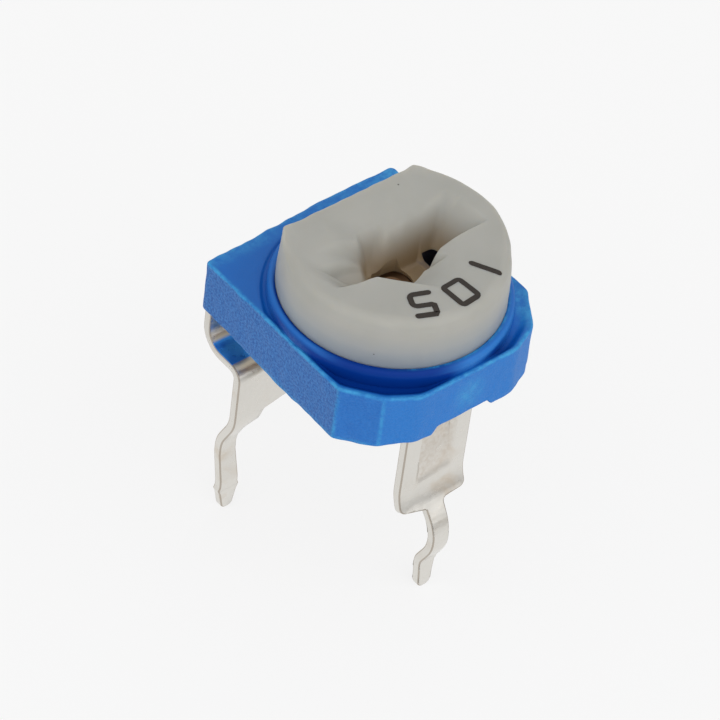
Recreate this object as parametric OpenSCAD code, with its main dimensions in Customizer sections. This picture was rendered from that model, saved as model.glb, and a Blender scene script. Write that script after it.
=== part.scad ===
// Open-frame carbon trimmer potentiometer for a horizontal place on a board.
// Z = 0 is the board's top face, and the rotor turns about the Z axis.
// The two end terminals stand at +Y, and the wiper terminal stands at -Y.
// At rest the rotor is in the middle of its travel, with its flat at +Y.

/* [Housing] */
// Width of the moulded housing
housing_w = 6.2; // [6.1:0.1:7.4]
// Distance from the rotor's axis to the flat back of the housing
housing_back = 3.35; // [3.3:0.05:4.2]
// Distance from the rotor's axis to the front face
housing_front = 3.2; // [3.1:0.05:4]
// Height of the housing's wall
housing_h = 1.6; // [1.4:0.05:2.4]
// Height of the housing's underside above the board
stand_off = 4.0; // [3.6:0.05:6]
// Width of the straight part of the front face
front_flat_w = 3.1; // [2.2:0.1:3.6]
// How far the middle of each cut front corner lies in from the side
corner_in_x = 0.7; // [0.4:0.05:0.9]
// How far the middle of each cut front corner lies in from the front
corner_in_y = 0.45; // [0.2:0.05:0.6]
// How far each cut front corner reaches back along the side
corner_back = 1.35; // [1.2:0.05:1.8]
// Radius of the two back corners
back_corner_r = 0.15; // [0.1:0.05:0.4]
// Thickness of the wall round the base plate
pocket_wall = 0.45; // [0.35:0.05:0.5]
// Width of the notch in the front wall's lower edge
notch_w = 1.9; // [1:0.1:2.4]
// Height of that notch
notch_h = 0.2; // [0.05:0.05:0.4]

/* [Collar] */
// Height of the collar round the rotor above the housing's top
collar_h = 0.33; // [0.2:0.01:0.8]
// Wall thickness of the collar
collar_wall = 0.18; // [0.12:0.01:0.4]
// Depth of the shallow groove in the corners at the collar's foot
groove_d = 0.1; // [0.02:0.02:0.2]
// Width of that groove
groove_w = 0.35; // [0.1:0.05:0.4]

/* [Rotor] */
// Diameter of the rotor
rotor_d = 5.7; // [5.2:0.1:5.7]
// Height of the rotor's face above the housing's top
rotor_rise = 1.8; // [1.5:0.05:2.6]
// Distance from the axis to the flat on the rotor's edge
rotor_flat = 1.93; // [1.7:0.01:2.3]
// Radius of the rotor's rounded upper edge
rotor_edge_r = 0.25; // [0.1:0.01:0.4]
// Running gap between the rotor and the collar
rotor_gap = 0.05; // [0.03:0.01:0.1]
// Thickness of the rotor's floor under the recess
rotor_floor = 0.52; // [0.4:0.01:0.7]
// Space between the base plate and the rotor's underside
wiper_room = 0.63; // [0.55:0.01:0.9]

/* [Driver recess] */
// Width of the recess's arms
arm_w = 1.0; // [0.8:0.05:1.2]
// Reach of the two long arms from the axis
arm_long = 2.15; // [1.8:0.05:2.2]
// Reach of the two short arms from the axis
arm_short = 1.45; // [1.2:0.05:1.6]
// Depth of the two shallow arms below the rotor's face
arm_depth = 0.95; // [0.6:0.05:1.1]
// Length of the slot through the floor of the deep long arm
sight_l = 0.9; // [0.5:0.05:1]
// Width of that slot
sight_w = 0.7; // [0.4:0.05:0.7]

/* [Travel] */
// Angle that the rotor turns from stop to stop
travel = 210; // [180:5:240]
// Half of the angle that the housing's stop covers
stop_half = 22; // [15:1:28]
// Free angle left between the rotor's lug and the stop at each end
stop_free = 1; // [0.5:0.5:3]
// Radial width of the stop and of the rotor's lug
stop_w = 0.35; // [0.25:0.05:0.4]

/* [Base plate and track] */
// Thickness of the base plate
base_t = 0.6; // [0.5:0.05:0.8]
// Gap between the base plate and the wall of its pocket
base_gap = 0.03; // [0.01:0.01:0.1]
// Mean radius of the carbon track
track_r = 1.9; // [1.8:0.05:2]
// Width of the carbon track
track_w = 0.7; // [0.5:0.05:0.8]
// Thickness of the carbon film
track_t = 0.03; // [0.02:0.01:0.06]
// Angle that the track covers
track_angle = 260; // [250:2:264]

/* [Wiper spring] */
// Thickness of the wiper's spring sheet
spring_t = 0.1; // [0.08:0.01:0.12]
// Radial width of the spring's hub
hub_w = 0.48; // [0.45:0.01:0.6]
// Width of each of the two fingers
finger_w = 0.38; // [0.25:0.01:0.45]
// Gap between the two fingers
finger_gap = 0.14; // [0.1:0.01:0.3]
// Running gap between the fingers and the track
contact_gap = 0.02; // [0.01:0.01:0.04]

/* [Terminals] */
// Thickness of the terminals' tinned sheet
sheet_t = 0.22; // [0.18:0.01:0.3]
// Distance between the two end pins
pin_pitch = 5.0; // [4.8:0.1:5.2]
// Distance from the rotor's axis to the wiper pin
wiper_pin_dist = 2.55; // [2.4:0.05:2.7]
// Distance between the row of end pins and the wiper pin
row_pitch = 5.0; // [4.8:0.1:5.2]
// Width of a pin
pin_w = 0.58; // [0.4:0.02:0.7]
// Length of the pins below the board's top face
pin_l = 2.7; // [2.6:0.1:4]
// How far the plates stand in from their pins' tips
plate_in = 0.28; // [0.15:0.01:0.35]
// How far the wiper pin's kink bows out past its tip
wiper_kink = 0.47; // [0.1:0.01:0.6]
// How far the end pins' kinks bow out past their tips
end_kink = 0.15; // [0.05:0.01:0.3]
// Width of the wiper terminal's plate
wiper_plate_w = 2.1; // [1.8:0.1:2.4]
// Width of an end terminal's plate
end_plate_w = 1.55; // [1.4:0.05:1.6]
// Bend radius of the plates, at the middle of the sheet
bend_r = 0.3; // [0.2:0.01:0.35]
// Bend radius of the kinks in the pins
kink_r = 0.3; // [0.2:0.05:0.4]
// How far the end terminals bow out behind the housing
bow_out = 0.17; // [0.13:0.01:0.4]
// Drop from the housing's underside to the end terminals' ledge
ledge_drop = 1.5; // [1.3:0.01:1.8]
// Width of the pressed pocket that stiffens the wiper plate
pocket_w = 1.1; // [0.6:0.05:1.2]
// Depth of that pocket at its upper end
pocket_d = 0.16; // [0.05:0.01:0.18]

/* [Rivets] */
// Diameter of the centre rivet's spindle
spindle_d = 1.0; // [0.8:0.05:1.1]
// Running gap between the spindle and the rotor
spindle_gap = 0.04; // [0.03:0.01:0.06]
// How far the spindle's flared head laps over the rotor's floor
head_lap = 0.11; // [0.08:0.01:0.12]
// Diameter of the hole through the centre rivet
spindle_bore = 0.5; // [0.3:0.05:0.6]
// End play of the rotor between its seat and the flared head
end_play = 0.02; // [0.01:0.01:0.04]
// How much thicker the centre rivet's shank is than its spindle, on each side
shank_step = 0.1; // [0.05:0.01:0.2]
// How far the centre rivet's shoulder and lower head stand out from its shank
shoulder_lap = 0.25; // [0.2:0.01:0.3]
// Diameter of the end rivets' shanks
end_rivet_d = 0.6; // [0.5:0.05:0.7]
// Diameter of the end rivets' heads
end_rivet_head_d = 0.9; // [0.8:0.05:0.95]
// Thickness of the rivets' heads
rivet_head_t = 0.14; // [0.1:0.01:0.15]
// Gap round the rivets' shanks
rivet_gap = 0.02; // [0.01:0.01:0.03]

/* [Hidden] */
$fn = 72;

// An allowance that carries a cut past the face it starts from
over = 0.5;
// Steps in a drawn bend or rounded edge
bend_steps = 6;

// Heights of the faces, from the underside up
tab_z = stand_off - sheet_t;
base_top = stand_off + base_t;
track_top = base_top + track_t;
housing_top = stand_off + housing_h;
rotor_under = base_top + wiper_room;
wiper_under = rotor_under - spring_t;
floor_top = rotor_under + rotor_floor;
rotor_top = housing_top + rotor_rise;

// Radii of the rotor and of what it turns in
rotor_r = rotor_d / 2;
bore_r = rotor_r + rotor_gap;
collar_r = bore_r + collar_wall;

// Radii of the centre rivet, from its bore out, and of what turns on it
spindle_r = spindle_d / 2;
spindle_hole_r = spindle_r + spindle_gap;
head_r = spindle_hole_r + head_lap;
shank_r = spindle_r + shank_step;
shoulder_r = shank_r + shoulder_lap;
hub_hole_r = spindle_hole_r + rivet_gap;
hub_r = hub_hole_r + hub_w;
// Height of the rotor's round foot, below the flat, above the housing's top
foot_rise = collar_h / 2;
// Radius of the corners of the driver recess
arm_round = 0.3;
// The well round the spindle's head
well_gap = 0.05;

// The rotor's lug passes over the end rivets and meets the housing's stop
stop_r = rotor_r - stop_w;
lug_half = 180 - travel / 2 - stop_half - stop_free;
lug_h = 0.28;
stop_clear = 0.08;
// The stop is rooted this far in the housing's wall
stop_root = 0.1;

// Plain distance from the edge of the housing's top to the corner grooves
groove_edge = 0.15;

// Pegs of the rotor that drive the wiper spring
peg_r = 0.13;
peg_x = (hub_hole_r + hub_r) / 2;
peg_gap = 0.01;
// Where the fingers leave the hub, and how far they pass the track's middle
finger_root = 0.6;
finger_toe = 0.3;
toe_rise = 0.06;

// Pins and plates of the terminals
wiper_pin_y = -wiper_pin_dist;
wiper_plate_y = wiper_pin_y + plate_in;
end_pin_y = row_pitch - wiper_pin_dist;
end_plate_y = end_pin_y - plate_in;
end_outer_x = (pin_pitch + pin_w) / 2;
end_inner_x = end_outer_x - end_plate_w;
end_bow_y = housing_back + bow_out;
tab_mid_z = stand_off - sheet_t / 2;
ledge_z = stand_off - ledge_drop;
// The two bends of the ledge share the way from the bow to the plate
ledge_r = min(1.5 * bend_r, 0.4 * (end_bow_y - end_plate_y));
// Heights of the pins' kinks, from the plate down
wiper_kink_top = 0.32;
end_kink_top = 0.55;
kink_out = -0.3;
kink_back = -0.75;
kink_foot = -1.85;
// Shoulders where the plates narrow to the pins
wiper_shoulder_z = 0.42;
wiper_neck_z = 0.12;
corner_r = 0.15;
end_shoulder_z = 0.85;
end_neck_z = 0.7;
// Tapered and rounded tips of the pins
tip_l = 0.9;
tip_w = 0.7 * pin_w;
tip_r = 0.4 * tip_w;
// Height of the lower end of the wiper plate's pressed pocket
pocket_foot = 1.1;

// Space in the housing round the end rivets' heads
relief_gap = 0.08;
// The end of the track that lies under each rivet's head
land_r = (end_rivet_head_d + relief_gap) / 2;
// Width of the lead between the track and each of its ends
lead_w = 0.8 * track_w;
// End rivets stand this far in from the base plate's sides, at the ends of the track
rivet_edge = 0.1;
rivet_x = housing_w / 2 - pocket_wall - base_gap - land_r - rivet_edge;
rivet_y = 1.75;

// Lugs of the housing that are melted over the base plate's edges
stake_l = 1.2;
stake_in = 0.3;
stake_t = 0.12;

BLUE = "#2f78cf";
GREY_WHITE = "#b9bab8";
TIN = "#d6d2c8";
PHENOLIC = "#6f4a2c";

function unit(v) = v / norm(v);
function left_of(v) = [-v.y, v.x];
function turned(v, a) = [v.x * cos(a) - v.y * sin(a), v.x * sin(a) + v.y * cos(a)];
function reversed(p) = [for (i = [len(p) - 1 : -1 : 0]) p[i]];

// Corner b of a path a-b-c, rounded to radius r
function round_corner(a, b, c, r) =
    let (u = unit(a - b), v = unit(c - b),
         half = acos(u * v) / 2,
         centre = b + unit(u + v) * r / sin(half),
         start = b + u * r / tan(half) - centre,
         way = sign(cross(-u, v)))
    [for (k = [0 : bend_steps]) centre + turned(start, way * (180 - 2 * half) * k / bend_steps)];

// A path whose inner points [x, y, radius] become bends
function bent_path(p) =
    let (at = [for (q = p) [q.x, q.y]], last = len(p) - 1)
    concat(
        [at[0]],
        [for (i = [1 : last - 1]) each round_corner(at[i - 1], at[i], at[i + 1], p[i].z)],
        [at[last]]
    );

// A closed outline whose points [x, y, radius] become round, or stay sharp at 0
function rounded_outline(p) =
    let (at = [for (q = p) [q.x, q.y]], n = len(p))
    [for (i = [0 : n - 1])
        each p[i].z > 0 ? round_corner(at[(i + n - 1) % n], at[i], at[(i + 1) % n], p[i].z) : [at[i]]];

// An open path moved sideways by d
function beside(p, d) = [
    for (i = [0 : len(p) - 1])
        let (before = max(i, 1), after = min(i + 1, len(p) - 1),
             n1 = left_of(unit(p[before] - p[before - 1])),
             n2 = left_of(unit(p[after] - p[after - 1])),
             m = unit(n1 + n2))
        p[i] + m * d / (m * n1)
];

// A counter-clockwise outline moved in by d on every side
function inset(p, d) =
    let (n = len(p))
    [for (i = [0 : n - 1])
        let (n1 = left_of(unit(p[i] - p[(i + n - 1) % n])),
             n2 = left_of(unit(p[(i + 1) % n] - p[i])),
             m = unit(n1 + n2))
        p[i] + m * d / (m * n1)];

// Plan of the housing with sharp corners: each front corner is cut by two facets
function housing_plan() =
    let (x = housing_w / 2, f = -housing_front)
    [
        [-front_flat_w / 2, f],
        [front_flat_w / 2, f],
        [x - corner_in_x, f + corner_in_y],
        [x, f + corner_back],
        [x, housing_back],
        [-x, housing_back],
        [-x, f + corner_back],
        [-x + corner_in_x, f + corner_in_y]
    ];

// Plan of the driver recess, counter-clockwise from the +X arm
function recess_plan() =
    let (w = arm_w / 2, l = arm_long, s = arm_short, r = arm_round, c = arm_round / 2)
    rounded_outline([
        [l, -w, r], [l, w, r], [w, w, c], [w, s, r], [-w, s, r], [-w, w, c],
        [-l, w, r], [-l, -w, r], [-w, -w, c], [-w, -s, r], [w, -s, r], [w, -w, c]
    ]);

// Ring sector from height z up, centred on a direction
module ring_sector(inner, outer, direction, half, z, h) {
    translate([0, 0, z])
        rotate([0, 0, direction - half])
            rotate_extrude(angle = 2 * half)
                translate([inner, 0]) square([outer - inner, h]);
}

// Slab with the given outline from height z up
module slab(outline, z, h) {
    translate([0, 0, z]) linear_extrude(h) polygon(outline);
}

// Sheet between x0 and x1 that follows a side view in the Y-Z plane
module bent_sheet(path, t, x0, x1) {
    translate([x0, 0, 0])
        rotate([90, 0, 90])
            linear_extrude(x1 - x0)
                polygon(concat(beside(path, t / 2), reversed(beside(path, -t / 2))));
}

// Everything behind and in front of an outline in the X-Z plane
module front_view(outline) {
    depth = 2 * (housing_front + housing_back);
    translate([0, depth / 2, 0])
        rotate([90, 0, 0])
            linear_extrude(depth)
                polygon(outline);
}

module housing() {
    color(BLUE) {
        difference() {
            union() {
                housing_body();
                for (side = [-1, 1]) stake(side);
            }
            translate([0, 0, base_top]) cylinder(r = bore_r, h = rotor_top);
            slab(inset(housing_plan(), pocket_wall), stand_off, base_t);
            for (side = [-1, 1]) rivet_relief(side);
        }
        travel_stop();
    }
}

module housing_body() {
    plan = [for (p = housing_plan()) [p.x, p.y, p.y > 0 ? back_corner_r : 0]];
    difference() {
        union() {
            slab(rounded_outline(plan), stand_off, housing_h);
            intersection() {
                translate([0, 0, base_top]) cylinder(r = collar_r, h = housing_h - base_t + collar_h);
                slab(housing_plan(), base_top, housing_h + collar_h);
            }
        }
        intersection() {
            ring_sector(collar_r, collar_r + groove_w, 0, 180, housing_top - groove_d, over);
            slab(inset(housing_plan(), groove_edge), stand_off, housing_h + over);
        }
        translate([-notch_w / 2, -housing_front - over, stand_off - over])
            cube([notch_w, pocket_wall + 2 * over, notch_h + over]);
    }
}

module stake(side) {
    x = housing_w / 2 - pocket_wall - stake_in;
    w = stake_in + pocket_wall / 2;
    translate([side > 0 ? x : -x - w, -stake_l / 2, stand_off - stake_t])
        cube([w, stake_l, stake_t]);
}

module travel_stop() {
    h = wiper_room - stop_clear;
    ring_sector(stop_r, bore_r + stop_root, 90, stop_half, base_top, h);
}

module rivet_relief(side) {
    translate([side * rivet_x, rivet_y, base_top])
        cylinder(d = end_rivet_head_d + 2 * relief_gap, h = track_t + rivet_head_t + relief_gap);
}

module rotor() {
    edge = round_corner([rotor_r, 0], [rotor_r, rotor_top], [0, rotor_top], rotor_edge_r);
    color(GREY_WHITE) {
        difference() {
            rotate_extrude()
                polygon(concat([[0, rotor_under], [rotor_r, rotor_under]], edge, [[0, rotor_top]]));
            rotor_flat_cut();
            driver_recess();
            translate([0, 0, rotor_under - over])
                cylinder(r = spindle_hole_r, h = rotor_floor + 2 * over);
        }
        ring_sector(stop_r, rotor_r, -90, lug_half, rotor_under - lug_h, lug_h);
        for (side = [-1, 1])
            translate([side * peg_x, 0, wiper_under]) cylinder(r = peg_r, h = spring_t);
    }
}

module rotor_flat_cut() {
    translate([-rotor_r, rotor_flat, housing_top + foot_rise])
        cube([2 * rotor_r, rotor_r, rotor_rise]);
}

// A cross with two deep arms, at +X and +Y, and two shallow ones
module driver_recess() {
    slab(recess_plan(), rotor_top - arm_depth, arm_depth + over);
    intersection() {
        slab(recess_plan(), floor_top, rotor_top - floor_top);
        translate([-arm_w / 2, -arm_w / 2, floor_top])
            cube([arm_long + arm_w, arm_short + arm_w, rotor_top]);
    }
    translate([0, 0, floor_top]) cylinder(r = head_r + well_gap, h = rotor_top - floor_top);
    translate([arm_long - arm_round / 2 - sight_l, -sight_w / 2, rotor_under - over])
        cube([sight_l, sight_w, rotor_floor + 2 * over]);
}

// Flat hub with two fingers that slope down to the track
module wiper_spring() {
    hub_mid = rotor_under - spring_t / 2;
    touch_mid = track_top + contact_gap + spring_t / 2;
    side_view = bent_path([
        [-finger_root, hub_mid],
        [-hub_r, hub_mid, spring_t],
        [-track_r + finger_w / 4, touch_mid, spring_t],
        [-track_r - finger_toe, touch_mid + toe_rise]
    ]);
    color("#b98a4a")
    difference() {
        union() {
            translate([0, 0, wiper_under]) cylinder(r = hub_r, h = spring_t);
            for (side = [-1, 1]) {
                x = side * (finger_gap + finger_w) / 2;
                bent_sheet(side_view, spring_t, x - finger_w / 2, x + finger_w / 2);
            }
        }
        translate([0, 0, wiper_under - over]) cylinder(r = hub_hole_r, h = spring_t + 2 * over);
        for (side = [-1, 1])
            translate([side * peg_x, 0, wiper_under - over])
                cylinder(r = peg_r + peg_gap, h = spring_t + 2 * over);
    }
}

module base_plate() {
    color(PHENOLIC)
    difference() {
        slab(inset(housing_plan(), pocket_wall + base_gap), stand_off, base_t);
        shank_hole();
        for (side = [-1, 1]) end_rivet_hole(side);
    }
}

// Hole for the centre rivet's shank, through the wiper tab and the base plate
module shank_hole() {
    translate([0, 0, tab_z - over]) cylinder(r = shank_r + rivet_gap, h = base_t + sheet_t + 2 * over);
}

// Hole for an end rivet's shank, through the end tab, the base plate and the film
module end_rivet_hole(side) {
    translate([side * rivet_x, rivet_y, tab_z - over])
        cylinder(d = end_rivet_d + 2 * rivet_gap, h = base_t + sheet_t + track_t + 2 * over);
}

module carbon_track() {
    color("#1c1b1d")
    difference() {
        union() {
            ring_sector(track_r - track_w / 2, track_r + track_w / 2, -90, track_angle / 2,
                        base_top, track_t);
            for (side = [0, 1]) mirror([side, 0, 0]) track_end();
        }
        for (side = [-1, 1]) end_rivet_hole(side);
    }
}

// Round land under an end rivet's head, with a straight lead to the track
module track_end() {
    a = track_angle / 2 - 90;
    way = [rivet_x, rivet_y] - track_r * [cos(a), sin(a)];
    translate([rivet_x, rivet_y, base_top]) {
        cylinder(r = land_r, h = track_t);
        rotate([0, 0, atan2(way.y, way.x)])
            translate([-norm(way), -lead_w / 2, 0]) cube([norm(way), lead_w, track_t]);
    }
}

// Tubular rivet that holds the wiper terminal and carries the rotor
module centre_rivet() {
    bore = spindle_bore / 2;
    seat_z = wiper_under - end_play / 2;
    head_z = floor_top + end_play / 2;
    color(TIN)
    rotate_extrude()
        polygon([
            [bore, tab_z - rivet_head_t],
            [shoulder_r, tab_z - rivet_head_t],
            [shoulder_r, tab_z],
            [shank_r, tab_z],
            [shank_r, base_top],
            [shoulder_r, base_top],
            [shoulder_r, seat_z],
            [spindle_r, seat_z],
            [spindle_r, head_z],
            [head_r, head_z],
            [head_r, head_z + rivet_head_t / 2],
            [spindle_r, head_z + rivet_head_t],
            [bore, head_z + rivet_head_t]
        ]);
}

module end_rivet(side) {
    color(TIN)
    translate([side * rivet_x, rivet_y, 0])
        rotate_extrude()
            polygon([
                [0, tab_z - rivet_head_t],
                [end_rivet_head_d / 2, tab_z - rivet_head_t],
                [end_rivet_head_d / 2, tab_z],
                [end_rivet_d / 2, tab_z],
                [end_rivet_d / 2, track_top],
                [end_rivet_head_d / 2, track_top],
                [end_rivet_head_d / 2, track_top + rivet_head_t / 2],
                [end_rivet_d / 2, track_top + rivet_head_t],
                [0, track_top + rivet_head_t]
            ]);
}

// Side view of a pin from its plate down: it bows out by kink and comes back to its tip
function pin_path(plate_y, tip_y, out, kink, kink_top) = [
    [plate_y, kink_top, kink_r],
    [tip_y + out * kink, kink_out, kink_r / 2],
    [tip_y + out * kink, kink_back, kink_r / 2],
    [tip_y, kink_foot, kink_r],
    [tip_y, -pin_l]
];

module end_terminal(side) {
    side_view = bent_path(concat(
        [
            [rivet_y, tab_mid_z],
            [end_bow_y, tab_mid_z, bend_r],
            [end_bow_y, ledge_z, ledge_r],
            [end_plate_y, ledge_z, ledge_r]
        ],
        pin_path(end_plate_y, end_pin_y, 1, end_kink, end_kink_top)
    ));
    pin_in = end_outer_x - pin_w;
    outline = rounded_outline([
        [end_inner_x, stand_off + over, 0],
        [end_inner_x, end_shoulder_z, 1.5 * corner_r],
        [pin_in, end_neck_z, corner_r / 2],
        [pin_in, tip_l - pin_l, 0],
        [pin_in + (pin_w - tip_w) / 2, -pin_l, tip_r],
        [end_outer_x - (pin_w - tip_w) / 2, -pin_l, tip_r],
        [end_outer_x, tip_l - pin_l, 0],
        [end_outer_x, stand_off + over, 0]
    ]);
    color(TIN)
    mirror([side < 0 ? 1 : 0, 0, 0])
    difference() {
        union() {
            intersection() {
                bent_sheet(side_view, sheet_t, end_inner_x, end_outer_x);
                front_view(outline);
            }
            end_tab();
        }
        end_rivet_hole(1);
    }
}

// Flat tab from the rivet back to the first bend, over the plate's width
module end_tab() {
    tab_in = min(end_inner_x, rivet_x - end_plate_w / 2);
    translate([rivet_x, rivet_y, tab_z]) cylinder(d = end_plate_w, h = sheet_t);
    translate([tab_in, rivet_y, tab_z]) cube([end_outer_x - tab_in, end_bow_y - rivet_y - bend_r, sheet_t]);
}

module wiper_terminal() {
    side_view = bent_path(concat(
        [[0, tab_mid_z], [wiper_plate_y, tab_mid_z, bend_r]],
        pin_path(wiper_plate_y, wiper_pin_y, -1, wiper_kink, wiper_kink_top)
    ));
    right_side = [
        [tip_w / 2, -pin_l, tip_r],
        [pin_w / 2, tip_l - pin_l, 0],
        [pin_w / 2, wiper_neck_z, corner_r],
        [wiper_plate_w / 2, wiper_shoulder_z, corner_r],
        [wiper_plate_w / 2, stand_off + over, 0]
    ];
    left_side = [for (p = reversed(right_side)) [-p.x, p.y, p.z]];
    front_face = wiper_plate_y - sheet_t / 2;
    color(TIN)
    difference() {
        union() {
            intersection() {
                bent_sheet(side_view, sheet_t, -wiper_plate_w / 2, wiper_plate_w / 2);
                front_view(rounded_outline(concat(right_side, left_side)));
            }
            translate([0, 0, tab_z]) cylinder(d = wiper_plate_w, h = sheet_t);
            pressed_wedge(front_face + sheet_t, tab_mid_z - bend_r);
        }
        pressed_wedge(front_face, stand_off);
        shank_hole();
    }
}

// Wedge that deepens upwards: cut from the plate's front face and raised on its back
module pressed_wedge(face_y, top_z) {
    slope = pocket_d / (tab_mid_z - bend_r - pocket_foot);
    translate([-pocket_w / 2, 0, 0])
        rotate([90, 0, 90])
            linear_extrude(pocket_w)
                polygon([
                    [face_y, pocket_foot],
                    [face_y + slope * (top_z - pocket_foot), top_z],
                    [face_y, top_z]
                ]);
}

housing();
rotor();
wiper_spring();
base_plate();
carbon_track();
centre_rivet();
end_terminal(-1);  // end_terminal_left
end_terminal(1);  // end_terminal_right
wiper_terminal();
end_rivet(-1);  // end_rivet_left
end_rivet(1);  // end_rivet_right
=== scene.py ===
import math

import bmesh
import bpy
from mathutils import Matrix, Vector, noise


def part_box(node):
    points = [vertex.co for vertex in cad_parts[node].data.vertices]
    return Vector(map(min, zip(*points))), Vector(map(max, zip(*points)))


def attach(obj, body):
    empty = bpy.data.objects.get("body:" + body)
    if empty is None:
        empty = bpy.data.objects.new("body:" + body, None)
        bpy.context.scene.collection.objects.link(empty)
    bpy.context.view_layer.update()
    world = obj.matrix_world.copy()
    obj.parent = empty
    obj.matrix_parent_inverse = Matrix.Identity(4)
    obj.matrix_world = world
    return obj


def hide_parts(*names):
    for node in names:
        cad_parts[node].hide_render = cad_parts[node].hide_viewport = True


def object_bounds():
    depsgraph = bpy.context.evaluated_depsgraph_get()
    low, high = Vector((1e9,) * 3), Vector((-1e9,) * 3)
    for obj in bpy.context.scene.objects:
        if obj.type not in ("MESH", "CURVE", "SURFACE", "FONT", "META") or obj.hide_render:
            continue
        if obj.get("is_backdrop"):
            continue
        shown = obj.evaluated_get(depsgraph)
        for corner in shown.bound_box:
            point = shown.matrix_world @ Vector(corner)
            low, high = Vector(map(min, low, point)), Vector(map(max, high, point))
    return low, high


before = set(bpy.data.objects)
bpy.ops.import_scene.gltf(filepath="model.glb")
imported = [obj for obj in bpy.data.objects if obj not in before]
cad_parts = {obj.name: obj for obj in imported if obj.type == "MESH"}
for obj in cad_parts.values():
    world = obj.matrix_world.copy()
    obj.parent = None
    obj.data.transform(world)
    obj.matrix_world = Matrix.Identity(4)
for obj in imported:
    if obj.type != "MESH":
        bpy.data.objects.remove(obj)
cad_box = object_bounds()

# ----------------------------------------------------------
# Base plate: a punched plate of phenolic paper laminate that closes the housing from below.
# The rivets clamp the terminals under it, and two melted lugs of the housing hold it in.
# ----------------------------------------------------------
MM = 0.001


def linear(hex_colour):
    """An sRGB hex colour as linear RGBA."""
    parts = [int(hex_colour[i : i + 2], 16) / 255 for i in (1, 3, 5)]
    return [c / 12.92 if c <= 0.04045 else ((c + 0.055) / 1.055) ** 2.4 for c in parts] + [1]


def add(tree, kind, inputs, **settings):
    """Adds a node with its settings. An input takes a value, a socket or a node's first output."""
    made = tree.nodes.new("ShaderNode" + kind)
    for name, value in settings.items():
        setattr(made, name, value)
    for name, value in inputs.items():
        if isinstance(value, bpy.types.Node):
            value = next(output for output in value.outputs if output.enabled)
        if isinstance(value, bpy.types.NodeSocket):
            tree.links.new(value, made.inputs[name])
        else:
            made.inputs[name].default_value = value
    return made


def new_material(name):
    """A material with only its output, and the object's own coordinates in millimetres."""
    material = bpy.data.materials.new(name)
    material.use_nodes = True
    tree = material.node_tree
    tree.nodes.clear()
    coordinates = add(tree, "TexCoord", {})
    inputs = {0: coordinates.outputs["Object"], "Scale": 1 / MM}
    place = add(tree, "VectorMath", inputs, operation="SCALE")
    return material, tree, place


def finish_with(node, material):
    """Gives a CAD node's own slots this material."""
    for material_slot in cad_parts[node].material_slots:
        material_slot.material = material


# Phenolic paper laminate: brown resin with paler paper fibres, 0.1 mm wide, showing through, and
# a dull shine.
laminate, tree, place = new_material("phenolic_paper_laminate")
fibres = add(tree, "TexNoise", {"Vector": place, "Scale": 9.0, "Detail": 6.0, "Roughness": 0.7})
fibre_share = add(tree, "MapRange", {"Value": fibres, "From Min": 0.35, "From Max": 0.7})
resin, paper = linear("#6d4b2e"), linear("#9c774f")
colour = add(tree, "Mix", {0: fibre_share, 6: resin, 7: paper}, data_type="RGBA")
relief = add(tree, "Bump", {"Height": fibres, "Strength": 0.4, "Distance": 0.01 * MM})
shader = add(
    tree,
    "BsdfPrincipled",
    {"Base Color": colour, "Roughness": 0.45, "IOR": 1.55, "Normal": relief},
)
add(tree, "OutputMaterial", {"Surface": shader})
finish_with("base_plate", laminate)

# ----------------------------------------------------------
# Carbon track: a ring of carbon ink, screened onto the base plate and fired, that the wiper
# slides on. Its two ends run under the end rivets' heads.
# ----------------------------------------------------------
# Fired carbon ink: nearly black and dull, with the fine grain of the screen, 0.03 mm.
carbon, tree, place = new_material("fired_carbon_ink")
grain = add(tree, "TexNoise", {"Vector": place, "Scale": 30.0, "Detail": 3.0})
colour = add(tree, "Mix", {0: grain, 6: linear("#141315"), 7: linear("#2a292c")}, data_type="RGBA")
shader = add(tree, "BsdfPrincipled", {"Base Color": colour, "Roughness": 0.6, "IOR": 1.6})
add(tree, "OutputMaterial", {"Surface": shader})
finish_with("carbon_track", carbon)

# ----------------------------------------------------------
# Terminals: three stampings of tinned brass sheet. Each has a tab that is riveted under the base
# plate, a plate that stands on the board, and a pin that is kinked to hold in its hole.
# ----------------------------------------------------------


def box_mm(node):
    """Lowest and highest corner of a CAD node, in millimetres."""
    low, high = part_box(node)
    return low / MM, high / MM


def rounded(corners, closed=False):
    """Points along a path whose corners (x, y, radius) become arcs of eight steps."""
    points = []
    last = len(corners) - 1
    for i, (x, y, radius) in enumerate(corners):
        corner = Vector((x, y))
        if radius == 0 or (not closed and i in (0, last)):
            points.append(corner)
            continue
        before = (Vector(corners[i - 1][:2]) - corner).normalized()
        after = (Vector(corners[0 if i == last else i + 1][:2]) - corner).normalized()
        half = before.angle(after) / 2
        centre = corner + (before + after).normalized() * radius / math.sin(half)
        start = corner + before * radius / math.tan(half) - centre
        way = math.copysign(1, before.y * after.x - before.x * after.y)
        for step in range(9):
            turn = way * (math.pi - 2 * half) * step / 8
            points.append(centre + Matrix.Rotation(turn, 2) @ start)
    return points


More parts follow.
